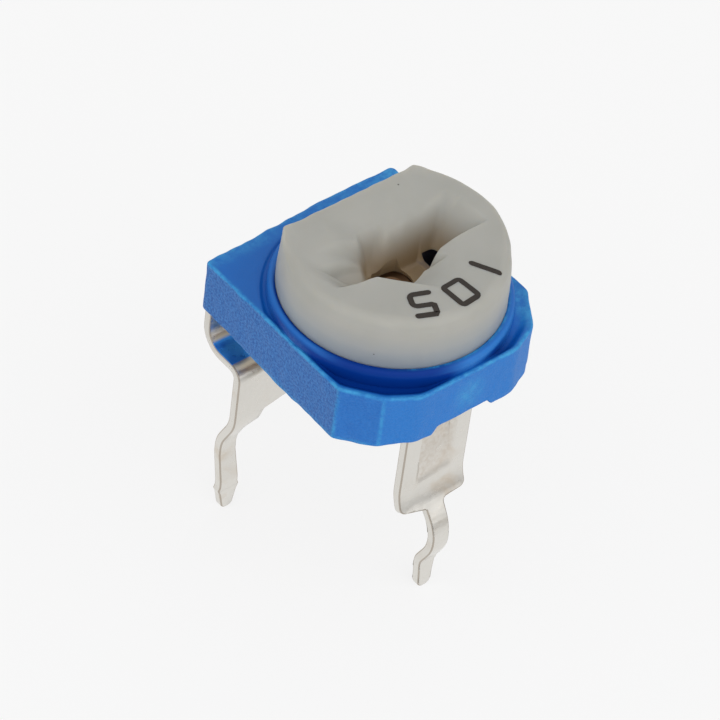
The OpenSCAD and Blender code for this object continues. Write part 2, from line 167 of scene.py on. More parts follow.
class Path:
    """A path of points, with its lengths and its normals."""

    def __init__(self, points):
        self.points = points
        self.lengths = [0]
        for a, b in zip(points, points[1:]):
            self.lengths.append(self.lengths[-1] + (b - a).length)
        ways = [(b - a).normalized() for a, b in zip(points, points[1:])]
        ways = [a + b for a, b in zip(ways[:1] + ways, ways + ways[-1:])]
        self.normals = [Vector((-w.y, w.x)).normalized() for w in ways]

    def at(self, length, aside):
        """The point at a length along the path, moved aside along its normal."""
        i = sum(1 for x in self.lengths[1:-1] if x <= length)
        share = (length - self.lengths[i]) / (self.lengths[i + 1] - self.lengths[i])
        normal = self.normals[i].lerp(self.normals[i + 1], share)
        return self.points[i].lerp(self.points[i + 1], share) + normal * aside

    def length_at(self, height):
        """The length at which the path, followed back from its end, reaches a height."""
        for i in range(len(self.points) - 1, 0, -1):
            a, b = self.points[i - 1], self.points[i]
            if b.y <= height <= a.y:
                share = (a.y - height) / (a.y - b.y)
                return self.lengths[i - 1] + share * (self.lengths[i] - self.lengths[i - 1])


def smooth(low, high, value):
    """0 below low, 1 above high, and a smooth step between them."""
    share = min(max((value - low) / (high - low), 0), 1)
    return share * share * (3 - 2 * share)


def put(name, data):
    """A new object in the scene."""
    made = bpy.data.objects.new(name, data)
    bpy.context.scene.collection.objects.link(made)
    return made


def new_piece(bm, name, material, body, slot, *nodes):
    """Makes a piece from a mesh in millimetres, on a body, in the place of CAD nodes."""
    bmesh.ops.remove_doubles(bm, verts=bm.verts[:], dist=1e-5)
    bmesh.ops.recalc_face_normals(bm, faces=bm.faces[:])
    bmesh.ops.scale(bm, vec=(MM, MM, MM), verts=bm.verts[:])
    mesh = bpy.data.meshes.new(name)
    bm.to_mesh(mesh)
    bm.free()
    mesh.shade_smooth()
    mesh.set_sharp_from_angle(angle=math.radians(40))
    mesh.materials.append(material)
    piece = put(name, mesh)
    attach(piece, body)
    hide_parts(*nodes)
    return piece


def even_shading(piece):
    """Lets the flat faces, and not their rounded edges, set the shading."""
    piece.modifiers.new("even_shading", "WEIGHTED_NORMAL").keep_sharp = True


def combine(bm, tool, operation):
    """Cuts a closed mesh by another, or joins them. Both are in millimetres."""
    objects = []
    for source in (bm, tool):
        mesh = bpy.data.meshes.new("part")
        source.to_mesh(mesh)
        objects.append(put("part", mesh))
    tool.free()
    modifier = objects[0].modifiers.new("combine", "BOOLEAN")
    modifier.object = objects[1]
    modifier.operation = operation
    modifier.solver = "EXACT"
    done = objects[0].evaluated_get(bpy.context.evaluated_depsgraph_get()).to_mesh()
    bm.clear()
    bm.from_mesh(done)
    for part in objects:
        bpy.data.objects.remove(part)


def rod(x, y, low, high, radius, sides=48):
    """An upright round rod."""
    bm = bmesh.new()
    bmesh.ops.create_cone(
        bm,
        cap_ends=True,
        segments=sides,
        radius1=radius,
        radius2=radius,
        depth=high - low,
        matrix=Matrix.Translation((x, y, (low + high) / 2)),
    )
    return bm


SHEET = 0.25
EDGE = 0.035
HOLE_LOW, HOLE_HIGH = 3, 4.5


def stamped_sheet(outline, path, columns, rows):
    """A flat blank with softened edges, cut into columns and rows so that it can be bent."""
    bm = bmesh.new()
    rim = bm.faces.layers.float.new("rim")
    bm.faces.new([bm.verts.new((x, s, -SHEET / 2)) for x, s in outline])
    cuts = [((0, s, 0), (0, 1, 0)) for s in path.lengths[1:-1] + rows]
    cuts += [((x, 0, 0), (1, 0, 0)) for x in columns]
    for point, normal in cuts:
        bmesh.ops.bisect_plane(
            bm,
            geom=bm.verts[:] + bm.edges[:] + bm.faces[:],
            dist=1e-4,
            plane_co=point,
            plane_no=normal,
        )
    made = bmesh.ops.extrude_face_region(bm, geom=bm.faces[:])["geom"]
    raised = [v for v in made if isinstance(v, bmesh.types.BMVert)]
    bmesh.ops.translate(bm, verts=raised, vec=(0, 0, SHEET))
    bmesh.ops.recalc_face_normals(bm, faces=bm.faces[:])
    sharp = [e for e in bm.edges if e.calc_face_angle(0) > 1.2]
    rounds = bmesh.ops.bevel(
        bm, geom=sharp, offset=EDGE, segments=2, profile=0.5, affect="EDGES", material=-1
    )
    for face in rounds["faces"]:
        face[rim] = 1
    return bm


def bend_sheet(bm, path):
    """Bends a blank along a path in the YZ plane."""
    for v in bm.verts:
        place_on_path = path.at(v.co.y, v.co.z)
        v.co = (v.co.x, place_on_path.x, place_on_path.y)


# Tinned brass sheet: bright and smooth, a little warm, with 0.1 mm mottling, 1 mm stains, 0.6 mm
# dents, darker patches over the pressed pocket, made darker still towards the plate's top as painted
# shade under the housing, and dark brown along the rounded edges. The end terminals' ledges carry a
# painted blue reflection.
tin, tree, place = new_material("tinned_brass_sheet")
stain_noise = add(tree, "TexNoise", {"Vector": place, "Scale": 1.1, "Detail": 4.0, "Distortion": 0.6})
stains = add(
    tree,
    "MapRange",
    {"Value": stain_noise, "From Min": 0.5, "From Max": 0.85},
    interpolation_type="SMOOTHSTEP",
)
fine_noise = add(tree, "TexNoise", {"Vector": place, "Scale": 9.0, "Detail": 3.0})
clean = add(tree, "Mix", {0: fine_noise, 6: linear("#d6d2ca"), 7: linear("#dedcd7")}, data_type="RGBA")
colour = add(tree, "Mix", {0: stains, 6: clean, 7: linear("#cdc1b1")}, data_type="RGBA")
cut_edge = add(tree, "Attribute", {}, attribute_name="rim")
# the rounded edges are coloured dark brown
dark_edge = add(tree, "Math", {0: cut_edge.outputs["Fac"], 1: 0.55}, operation="MULTIPLY")
pressed = add(tree, "Attribute", {}, attribute_name="pressed")
patchy = add(
    tree,
    "MapRange",
    {"Value": fine_noise, "From Min": 0.35, "From Max": 0.65, "To Min": 0.1, "To Max": 0.5},
)
# painted shade: darker over the pressed pocket, and twice as dark towards the plate's top under the
# housing
pocket_and_shade_tint = add(tree, "Math", {0: pressed.outputs["Fac"], 1: patchy}, operation="MULTIPLY")
colour = add(tree, "Mix", {0: pocket_and_shade_tint, 6: colour, 7: linear("#c2b5a6")}, data_type="RGBA")
colour = add(tree, "Mix", {0: dark_edge, 6: colour, 7: linear("#86735c")}, data_type="RGBA")
roughness = add(
    tree,
    "MapRange",
    {"Value": fine_noise, "From Min": 0.3, "From Max": 0.7, "To Min": 0.27, "To Max": 0.36},
)
# The end terminals' ledges lie close under the blue housing; their upper faces carry a painted blue
# reflection of it.
spot = add(tree, "SeparateXYZ", {0: place})
surface = add(tree, "NewGeometry", {})
facing = add(tree, "SeparateXYZ", {0: surface.outputs["Normal"]})
ledge_painted_reflection = add(tree, "MapRange", {"Value": facing.outputs["Z"], "From Min": 0.3, "From Max": 0.4})
for axis, start, end in (("Y", 2.38, 2.42), ("Y", 3.24, 3.18), ("Z", 2.2, 2.3), ("Z", 3.1, 3.0)):
    inside = add(tree, "MapRange", {"Value": spot.outputs[axis], "From Min": start, "From Max": end})
    ledge_painted_reflection = add(tree, "Math", {0: ledge_painted_reflection, 1: inside}, operation="MULTIPLY")
painted_blue_reflection = add(tree, "Mix", {0: fine_noise, 6: linear("#388ff5"), 7: linear("#4ba2ff")}, data_type="RGBA")
colour = add(tree, "Mix", {0: ledge_painted_reflection, 6: colour, 7: painted_blue_reflection}, data_type="RGBA")
dents = add(tree, "TexNoise", {"Vector": place, "Scale": 1.6, "Detail": 2.0})
relief = add(tree, "Bump", {"Height": dents, "Strength": 0.5, "Distance": 0.05 * MM})
shader = add(
    tree,
    "BsdfPrincipled",
    {"Base Color": colour, "Metallic": 1.0, "Roughness": roughness, "Normal": relief},
)
add(tree, "OutputMaterial", {"Surface": shader})

base_low, base_high = box_mm("base_plate")
wiper_low, wiper_high = box_mm("wiper_terminal")
end_high = box_mm("end_terminal_right")[1]
TAB_MID = base_low.z - SHEET / 2
PIN_TIP = wiper_low.z
PIN_HALF = 0.29
TIP_HALF = 0.19

# The wiper terminal: its plate stands in front, and its pin's kink bows out towards the front.
PLATE_Y = -2.27
PLATE_HALF = wiper_high.x
wiper_path = Path(
    rounded(
        [
            (0, TAB_MID, 0),
            (PLATE_Y, TAB_MID, 0.3),
            (PLATE_Y, 0.71, 1.5),
            (-3.13, -0.53, 1.2),
            (-2.54, -1.68, 0.8),
            (-2.54, PIN_TIP, 0),
        ]
    )
)
wiper_end = wiper_path.lengths[-1]
taper = wiper_path.length_at(-1.6)
right_side = [
    (TIP_HALF + 0.05, wiper_end, 0.16),
    (PIN_HALF + 0.02, taper, 0.3),
    (PIN_HALF - 0.02, wiper_path.length_at(-0.5), 0.3),
    (PIN_HALF, wiper_path.length_at(0.35), 0.14),
    (PLATE_HALF, wiper_path.length_at(0.4), 0.2),
]
left_side = [
    (-PLATE_HALF, wiper_path.length_at(0.44), 0.2),
    (-PIN_HALF + 0.01, wiper_path.length_at(0.27), 0.05),
    (-PIN_HALF + 0.04, wiper_path.length_at(-0.4), 0.3),
    (-PIN_HALF + 0.05, taper, 0.3),
    (-TIP_HALF + 0.05, wiper_end, 0.16),
]
TAB_ROUND = PLATE_HALF - 0.01
tab_back = [(PLATE_HALF, -PLATE_HALF, TAB_ROUND), (-PLATE_HALF, -PLATE_HALF, TAB_ROUND)]
blank_outline = rounded(right_side + tab_back + left_side, closed=True)
POCKET_COLUMN, POCKET_ROW = 0.05, 0.08
columns = [-0.9 + POCKET_COLUMN * i for i in range(37)]
rows = [1.0 + POCKET_ROW * i for i in range(int(wiper_end / POCKET_ROW) - 12)]
bm = stamped_sheet(blank_outline, wiper_path, columns, rows)
POCKET_DEPTH = 0.17
pressed_in = bm.verts.layers.float.new("pressed")
for v in bm.verts:
    on_path = wiper_path.at(v.co.y, v.co.z)
    # the pressed pocket that stiffens the plate deepens upwards
    above = on_path.y - (1.16 + 0.14 * v.co.x)
    ramp = 0.5 * smooth(0, 0.25, above) + 0.75 * smooth(0.4, 1.6, above)
    across = smooth(-0.55, -0.44, v.co.x) * (1 - smooth(0.5, 0.62, v.co.x))
    upper_end = 1 - smooth(TAB_MID - 0.45, TAB_MID - 0.2, on_path.y)
    # the pocket is marked darker, and twice as dark towards the plate's top, as painted shade under the
    # housing
    v[pressed_in] = across * smooth(-0.05, 0.25, above) * (1 + smooth(2.4, 3.2, on_path.y))
    v.co = (v.co.x, on_path.x + POCKET_DEPTH * ramp * across * upper_end / 1.3, on_path.y)
combine(bm, rod(0, 0, HOLE_LOW, HOLE_HIGH, radius=0.62), "DIFFERENCE")
wiper_piece = new_piece(bm, "wiper_terminal_sheet", tin, "base", "tinned_sheet", "wiper_terminal")
even_shading(wiper_piece)

# The two end terminals: each steps down behind the housing, and they mirror each other.
END_PLATE_Y = 2.17
END_PIN_Y = 2.45
BOW_Y = end_high.y - SHEET / 2
OUTER_X = end_high.x
PLATE_W = 1.55
PIN_W = 0.58
RIVET_X = sum(v.x for v in box_mm("end_rivet_right")) / 2
RIVET_Y = sum(v.y for v in box_mm("end_rivet_right")) / 2
LEDGE_Z = 2.5
end_path = Path(
    rounded(
        [
            (RIVET_Y, TAB_MID, 0),
            (BOW_Y, TAB_MID, 0.3),
            (BOW_Y, LEDGE_Z, 0.59),
            (END_PLATE_Y, LEDGE_Z, 0.3),
            (END_PLATE_Y, 0.6, 1.2),
            (END_PIN_Y + 0.16, -0.3, 1.2),
            (END_PIN_Y + 0.16, -0.8, 0.45),
            (END_PIN_Y, -1.7, 0.8),
            (END_PIN_Y, PIN_TIP, 0),
        ]
    )
)
end_length = end_path.lengths[-1]
pin_in = OUTER_X - PIN_W
middle = OUTER_X - PIN_W / 2
barb = end_path.length_at(-2.0)
taper = end_path.length_at(-2.15)
outline = rounded(
    [
        (OUTER_X - PLATE_W, -0.775, 0.76),
        (OUTER_X, -0.775, 0.76),
        (OUTER_X, barb - 0.12, 0.05),
        (OUTER_X + 0.04, barb, 0.03),
        (OUTER_X - 0.02, taper, 0.05),
        (middle + TIP_HALF - 0.03, end_length, 0.15),
        (middle - TIP_HALF + 0.03, end_length, 0.15),
        (pin_in + 0.02, taper, 0.05),
        (pin_in - 0.04, barb, 0.03),
        (pin_in, barb - 0.12, 0.05),
        (pin_in + 0.1, end_path.length_at(0.38), 0.15),
        (pin_in - 0.27, end_path.length_at(0.53), 0.08),
        (pin_in - 0.36, end_path.length_at(0.82), 0.1),
        (OUTER_X - PLATE_W - 0.25, end_path.length_at(1.02), 0.12),
        (OUTER_X - PLATE_W - 0.25, end_path.length_at(1.9), 0.2),
        (OUTER_X - PLATE_W, end_path.length_at(2.2), 0.2),
    ],
    closed=True,
)
for side, node in ((1, "end_terminal_right"), (-1, "end_terminal_left")):
    bm = stamped_sheet(outline, end_path, [], [0.5])
    bend_sheet(bm, end_path)
    combine(bm, rod(RIVET_X, RIVET_Y, HOLE_LOW, HOLE_HIGH, radius=0.32), "DIFFERENCE")
    if side < 0:
        bmesh.ops.scale(bm, vec=(-1, 1, 1), verts=bm.verts[:])
    even_shading(new_piece(bm, node + "_sheet", tin, "base", "tinned_sheet", node))

# ----------------------------------------------------------
# Rivets: two end rivets clamp the end terminals and the track's ends to the base plate. The
# tubular centre rivet holds the wiper terminal, and its flared tube is the rotor's spindle.
# ----------------------------------------------------------


def turned(profile, x=0, y=0):
    """Turns an open or closed profile (radius, height) once round an upright axis."""
    bm = bmesh.new()
    verts = [bm.verts.new((r, 0, z)) for r, z in profile]
    edges = [bm.edges.new(pair) for pair in zip(verts, verts[1:])]
    bmesh.ops.spin(
        bm,
        geom=verts + edges,
        cent=(0, 0, 0),
        axis=(0, 0, 1),
        angle=math.tau,
        steps=96,
        use_merge=True,
    )
    bmesh.ops.translate(bm, verts=bm.verts[:], vec=(x, y, 0))
    return bm


# Tinned rivet brass: as bright as the sheet, with marks of the rivet set, 0.2 mm wide, and a painted
# dark brown shade on the centre rivet's flared top, which sits deep in the rotor's recess.
rivet_metal, tree, place = new_material("tinned_rivet_brass")
marks = add(tree, "TexNoise", {"Vector": place, "Scale": 6.0, "Detail": 4.0})
colour = add(tree, "Mix", {0: marks, 6: linear("#cdbfa4"), 7: linear("#ded9cf")}, data_type="RGBA")
spot = add(tree, "SeparateXYZ", {0: place})
# painted shade: the flared top of the tube is drawn dark brown
flare_painted_shade = add(tree, "MapRange", {"Value": spot.outputs["Z"], "From Min": 5.2, "From Max": 5.4})
colour = add(tree, "Mix", {0: flare_painted_shade, 6: colour, 7: linear("#5f4936")}, data_type="RGBA")
relief = add(tree, "Bump", {"Height": marks, "Strength": 0.4, "Distance": 0.01 * MM})
shader = add(
    tree,
    "BsdfPrincipled",
    {"Base Color": colour, "Metallic": 1.0, "Roughness": 0.3, "Normal": relief},
)
add(tree, "OutputMaterial", {"Surface": shader})

END_SHANK = 0.3
for node in ("end_rivet_right", "end_rivet_left"):
    low, high = box_mm(node)
    head = (high.x - low.x) / 2
    under = base_low.z - SHEET
    over = base_high.z + 0.03
    profile = rounded(
        [
            (0, low.z, 0),
            (head, low.z, 0.06),
            (head, under, 0.03),
            (END_SHANK, under, 0),
            (END_SHANK, over, 0),
            (head, over, 0.02),
            (head, over + 0.07, 0.04),
            (END_SHANK, high.z, 0.08),
            (0, high.z, 0),
        ]
    )
    bm = turned(profile, (low.x + high.x) / 2, (low.y + high.y) / 2)
    new_piece(bm, node + "_turned", rivet_metal, "base", "rivet_metal", node)

centre_low, centre_high = box_mm("centre_rivet")
spring_high = box_mm("wiper_spring")[1]
BORE, SPINDLE, SHANK, SHOULDER, FLARE = 0.25, 0.5, 0.6, 0.85, 0.65
seat_z = spring_high.z - 0.11
flare_z = centre_high.z - 0.14
profile = rounded(
    [
        (BORE, centre_low.z, 0.05),
        (SHOULDER, centre_low.z, 0.06),
        (SHOULDER, base_low.z - SHEET, 0.03),
        (SHANK, base_low.z - SHEET, 0),
        (SHANK, base_high.z, 0),
        (SHOULDER, base_high.z, 0.02),
        (SHOULDER, seat_z, 0.03),
        (SPINDLE, seat_z, 0),
        (SPINDLE, flare_z, 0),
        (FLARE, flare_z, 0.02),
        (FLARE, flare_z + 0.07, 0.03),
        (SPINDLE, centre_high.z, 0.08),
        (BORE, centre_high.z, 0.08),
    ],
    closed=True,
)
bm = turned(profile + profile[:1])
new_piece(bm, "centre_rivet_turned", rivet_metal, "base", "rivet_metal", "centre_rivet")

# ----------------------------------------------------------
# Housing: an injection moulding in blue nylon. Its sides come rough from a spark-eroded mould, its
# collar and the groove round it come smoother and carry painted shade, its front faces carry painted
# light, and the edges are scuffed paler with painted highlights.
# ----------------------------------------------------------
housing_low, housing_high = box_mm("housing")
rotor_low, rotor_high = box_mm("rotor")
COLLAR_H = 0.33
COLLAR_WALL = 0.18
ROTOR_GAP = 0.05
ROTOR_R = rotor_high.x
BORE_R = ROTOR_R + ROTOR_GAP
COLLAR_R = BORE_R + COLLAR_WALL
COLLAR_TOP = housing_high.z
TOP = COLLAR_TOP - COLLAR_H
UNDER = base_low.z
BASE_TOP = base_high.z
WALL = 0.45
HALF_W = housing_high.x
FRONT = housing_low.y
BACK = housing_high.y


def housing_outline(inside, corner):
    """The housing's plan as moulded, a little out of square, moved in, its corners rounded."""
    corners = [
        (-1.6, FRONT, 0.7),
        (1.45, FRONT, 0.7),
        (HALF_W - 0.8, FRONT + 0.4, 0.4),
        (HALF_W - 0.1, FRONT + 1.45, 0.25),
        (HALF_W - 0.1, BACK + 0.26, 0.14),
        (0.6, BACK + 0.25, 2.0),
        (-1.8, BACK + 0.1, 2.0),
        (-HALF_W - 0.03, BACK + 0.07, 0.12),
        (-HALF_W - 0.03, FRONT + 1.35, 0.15),
        (-HALF_W + 0.7, FRONT + 0.45, 0.5),
    ]
    sharp = [Vector(place[:2]) for place in corners]
    moved = []
    for i, point in enumerate(sharp):
        before = (point - sharp[i - 1]).normalized()
        after = (sharp[(i + 1) % len(sharp)] - point).normalized()
        in_before, in_after = Vector((-before.y, before.x)), Vector((-after.y, after.x))
        middle_way = (in_before + in_after).normalized()
        point = point + middle_way * inside / middle_way.dot(in_before)
        moved.append((point.x, point.y, corner * corners[i][2]))
    return rounded(moved, closed=True)


def reach(outline, angle):
    """How far an outline round the axis lies from it in one direction."""
    way = Vector((math.cos(angle), math.sin(angle)))
    for a, b in zip(outline, outline[1:] + outline[:1]):
        side_a, side_b = way.cross(a), way.cross(b)
        if side_a <= 0 < side_b:
            point = a.lerp(b, side_a / (side_a - side_b))
            if point.dot(way) > 0:
                return point.dot(way)


def lofted(rings, spokes, place):
    """A strip of rings round the axis, whose points are put in place by their ring and angle."""
    bm = bmesh.new()
    bmesh.ops.create_grid(bm, x_segments=rings - 1, y_segments=spokes, size=0.5)
    for v in bm.verts:
        ring = round((v.co.x + 0.5) * (rings - 1))
        v.co = place(ring, v.co.y * math.tau)
    bmesh.ops.remove_doubles(bm, verts=bm.verts[:], dist=1e-5)
    bmesh.ops.recalc_face_normals(bm, faces=bm.faces[:])
    return bm


def ragged(point, size, grain):
    """A small uneven amount that depends on the place alone."""
    return size * noise.noise(Vector(point) * grain)


plan = housing_outline(0, 1)
pocket_plan = housing_outline(WALL, 0.3)
ROUND = 0.06
SIDE_R = ROTOR_R + 0.035
STOP_R = ROTOR_R - 0.35
STOP_HALF = math.radians(22)
STOP_TOP = 5.15
GROOVE_DEPTH = 0.16
GROOVE_W = 0.26
NOTCH_H = 0.2
CROWN = 0.2
LOW_H = 0.55

# Each ring lies between two of the section's curves, at a share of the way, and at a height.
rings = [("bore", "bore", 0, z) for z in (BASE_TOP, STOP_TOP, STOP_TOP + 0.01, TOP - 0.1)]
rings.append(("lip", "lip", 0, TOP))
for step in range(11):
    turn = math.pi * step / 10
    drop = (0.02 if step < 5 else CROWN) * (1 - math.sin(turn))
    rings.append(("lip", "collar", ((1 - math.cos(turn)) / 2) ** 1.5, COLLAR_TOP - drop))
rings += [("collar", "collar", 0, z) for z in (TOP + 0.1, TOP + 0.05, TOP)]
for share in (0, 0.15, 0.3, 0.45, 0.6, 0.7, 0.8, 0.9, 1):
    rings.append(("collar", "groove", share, TOP - 0.01))
rings += [("groove", "flat", share, TOP) for share in (0.15, 0.35, 0.6, 0.8, 0.93)]
for step in range(7):
    turn = math.pi / 2 * step / 6
    rings.append(("flat", "edge", math.sin(turn), TOP - ROUND * (1 - math.cos(turn))))
rings += [("edge", "edge", 0, z) for z in (5.5, 5.44, 5.2, 5.0, 4.8, 4.6, 4.4, 4.25, 4.15, 4.1)]
for step in range(6):
    turn = math.pi / 2 * step / 5
    rings.append(("edge", "flat", 1 - math.cos(turn), UNDER + ROUND * (1 - math.sin(turn))))
rings += [("flat", "pocket", share, UNDER) for share in (0.2, 0.6, 1)]
rings += [("pocket", "pocket", 0, z) for z in (4.2, 4.4, BASE_TOP)]
rings.append(rings[0])
curve_radii = {}


def radii_at(angle):
    """The radii of the section's curves at an angle."""
    key = round(angle, 5)
    if key not in curve_radii:
        edge = reach(plan, angle)
        uneven = ragged((3 * math.cos(angle), 3 * math.sin(angle), 0), 0.02, 1.7)
        edge += uneven * smooth(2.6, 3.3, edge * math.sin(angle))
        collar = min(COLLAR_R, edge - 0.05)
        flat = edge - min(ROUND, 0.6 * (edge - collar))
        frontward = smooth(-0.2, 0.9, -math.sin(angle))
        rightward = smooth(0.45, 0.85, math.cos(angle))
        rearward = smooth(0.05, 0.5, math.sin(angle))
        width = GROOVE_W + 0.2 * frontward - 0.12 * rightward - 0.08 * rearward
        groove = collar + min(width, 0.85 * (flat - collar))
        depth = GROOVE_DEPTH * smooth(0.05, 0.3, groove - collar)
        curve_radii[key] = {
            "bore": BORE_R,
            "lip": SIDE_R + 0.004,
            "collar": collar,
            "groove": groove,
            "flat": flat,
            "edge": edge,
            "pocket": reach(pocket_plan, angle),
            "depth": depth * (1 - 0.95 * rightward) * (1 - 0.5 * rearward),
        }
    return curve_radii[key]


def on_housing(ring, angle):
    """A point of the housing's surface."""
    first, second, share, z = rings[ring]
    radii = radii_at(angle)
    radius = radii[first] * (1 - share) + radii[second] * share
    if first == "bore" and share == 0 and z <= STOP_TOP and abs(angle - math.pi / 2) < STOP_HALF:
        radius = STOP_R
    x, y = radius * math.cos(angle), radius * math.sin(angle)
    if z in (TOP, TOP - 0.01) and first in ("collar", "groove"):
        depth = radii["depth"]
        z = TOP - depth * (1 - smooth(0.4, 1, share if second == "groove" else 1))
        if second == "collar":
            z = TOP - depth * 0.9
    if second in ("edge", "flat", "pocket") and z < UNDER + LOW_H and first != "groove":
        # the bottom edge: arched over the wiper terminal, and a little low along the sides
        notch = smooth(-1.12, -0.9, x) * (1 - smooth(0.66, 0.86, x)) if y < -1.5 else 0
        sag = 0.13 * smooth(-3.15, -2.3, y) * (1 - smooth(0.5, 2.6, y)) if abs(x) > 1.2 else 0
        lift = NOTCH_H * notch - sag
        z = UNDER + lift + (z - UNDER) * (1 - lift / LOW_H)
    if first in ("flat", "edge"):
        x += ragged((x, y, z), 0.022, 3.2)
        y += ragged((y, z, x), 0.022, 3.2)
        z += ragged((z, x, y), 0.022, 2.9)
    return x, y, z


bm = lofted(len(rings), 720, on_housing)
LUG_SIZE = (0.52, 1.2, 0.14)
for side in (-1, 1):
    lug = bmesh.new()
    bmesh.ops.create_cube(lug, size=1)
    bmesh.ops.scale(lug, vec=LUG_SIZE, verts=lug.verts[:])
    bmesh.ops.bevel(
        lug, geom=lug.edges[:], offset=0.05, segments=3, profile=0.5, affect="EDGES", material=-1
    )
    bmesh.ops.translate(lug, verts=lug.verts[:], vec=(side * 2.61, 0, housing_low.z + 0.07))
    combine(bm, lug, "UNION")
    head_room = rod(side * RIVET_X, RIVET_Y, BASE_TOP - 0.02, BASE_TOP + 0.25, radius=0.53)
    combine(bm, head_room, "DIFFERENCE")

# How deep a point lies in the groove, which is smoother and painted in shade, as are the collar's
# front-left wall and its inner lip on the left; and how scuffed and lit it is: scuffed edges and two
# scuffed upright corners with painted highlights, a painted highlight in front, and a paler rear
# edge, right corner and collar lip, where highlights are painted.
scuffs_and_highlights = bm.verts.layers.float.new("scuffs_and_highlights")
deep = bm.verts.layers.float.new("deep")
uprights = [Vector((-HALF_W, FRONT + 1.35)), Vector((-HALF_W + 0.7, FRONT + 0.45))]
SCUFF_AND_HIGHLIGHT_W = 0.07
front_highlight_centre = Vector((0, FRONT, 4.85))
for v in bm.verts:
    z = v.co.z
    angle = math.atan2(v.co.y, v.co.x)
    radii = radii_at(angle)
    out = v.co.xy.length - radii["edge"]
    beside = v.co.xy.length - radii["collar"]
    beyond = v.co.xy.length - radii["groove"]
    from_rotor = v.co.xy.length - SIDE_R
    leftness = smooth(0.3, 0.7, math.cos(angle + math.radians(160)))

    over = z - TOP - 0.12 * leftness
    in_groove = smooth(-0.06, -0.02, beside) * (1 - smooth(-0.2 + 0.14 * leftness, 0.05, beyond))
    in_groove *= smooth(TOP - 0.3, TOP - 0.2, z) * (1 - smooth(0.05, 0.2, over))
    in_groove *= 1 - smooth(0.25, 0.65, math.cos(angle))
    in_groove *= 1 - 0.7 * smooth(0.15, 0.45, math.sin(angle))
    on_collar = smooth(-0.4, -0.1, z - COLLAR_TOP) * smooth(-0.25, -0.15, beside) * (beside < 0.01)
    on_collar *= smooth(0.75, 0.95, math.cos(angle + math.radians(130)))
    inner = leftness * (1 - smooth(0.045, 0.085, from_rotor)) * (z > COLLAR_TOP - 0.1)
    # painted shade: the groove, the collar's front-left wall and the left inner lip
    v[deep] = max(in_groove, on_collar, inner)

    # painted highlights, broken up like scuffs: along the edges, on two upright corners, in a spot in
    # front, along the rear edge, the right corner and the collar lip
    upper = smooth(TOP - 0.09, TOP - 0.03, z) * smooth(-0.13, -0.03, out) * (z < TOP + 0.04)
    lower = (1 - smooth(UNDER - 0.06, UNDER + 0.05, z)) * smooth(-0.12, -0.04, out)
    nearest = min((v.co.xy - foot).length for foot in uprights)
    upright = (1 - smooth(0.3 * SCUFF_AND_HIGHLIGHT_W, SCUFF_AND_HIGHLIGHT_W, nearest)) * (z < TOP)
    front_highlight = (1 - smooth(0.1, 0.65, (v.co - front_highlight_centre).length)) * (v.co.y < FRONT + 0.3)
    rear_highlight = smooth(2.95, 3.3, v.co.y) * (z > TOP - 0.1)
    corner = smooth(1.9, 2.5, v.co.x) * smooth(-0.02, 0.06, beside) * (z > TOP - 0.2)
    lip = smooth(0.5, 0.85, math.cos(angle + math.radians(75))) * (z > COLLAR_TOP - 0.1)
    lip *= 1 - smooth(0.04, 0.1, from_rotor)
    scuffed_and_lit = max(upper, 0.6 * lower, 0.8 * upright)
    v[scuffs_and_highlights] = max(scuffed_and_lit, 0.7 * front_highlight, 0.45 * rear_highlight, 0.85 * corner, 0.7 * lip)

# Blue nylon: saturated, with a soft shine and 1 mm clouds, painted deep blue shade in the groove,
# painted light on front faces, and paler 0.25 mm scuffs with painted highlights. The spark-eroded
# grain is drawn 0.06 mm wide, coarser than real, so that it shows.
nylon, tree, place = new_material("moulded_blue_nylon")
cloud = add(tree, "TexNoise", {"Vector": place, "Scale": 0.9, "Detail": 3.0})
spark = add(tree, "TexNoise", {"Vector": place, "Scale": 16.0, "Detail": 3.0, "Roughness": 0.6})
surface = add(tree, "NewGeometry", {})
facing = add(tree, "SeparateXYZ", {0: surface.outputs["Normal"]})
upright = add(tree, "MapRange", {"Value": facing.outputs["Z"], "From Min": 0.5, "From Max": 0.2})
groove = add(tree, "Attribute", {}, attribute_name="deep")
plain = add(tree, "Math", {0: 1.0, 1: groove.outputs["Fac"]}, operation="SUBTRACT")
upright = add(tree, "Math", {0: upright, 1: plain}, operation="MULTIPLY")
facing_left = add(tree, "MapRange", {"Value": facing.outputs["X"], "From Min": -0.9, "From Max": -0.98})
base_colour = add(tree, "Mix", {0: cloud, 6: linear("#0a62b8"), 7: linear("#1070cc")}, data_type="RGBA")
speckle = add(tree, "MapRange", {"Value": spark, "From Min": 0.36, "From Max": 0.64})
grained = add(tree, "Mix", {0: speckle, 6: linear("#1e56a1"), 7: linear("#4684c8")}, data_type="RGBA")
matte = add(tree, "Math", {0: upright, 1: 0.3}, operation="MULTIPLY")
matte_left = add(tree, "Math", {0: facing_left, 1: 0.6, 2: matte}, operation="MULTIPLY_ADD")
colour = add(tree, "Mix", {0: matte_left, 6: base_colour, 7: grained}, data_type="RGBA")
# painted light: faces turned to the front are drawn a paler blue
front_facing_light = add(tree, "MapRange", {"Value": facing.outputs["Y"], "From Min": -0.5, "From Max": -0.8})
painted_front_light = add(tree, "Math", {0: front_facing_light, 1: 0.5}, operation="MULTIPLY")
colour = add(tree, "Mix", {0: painted_front_light, 6: colour, 7: linear("#2c86da")}, data_type="RGBA")
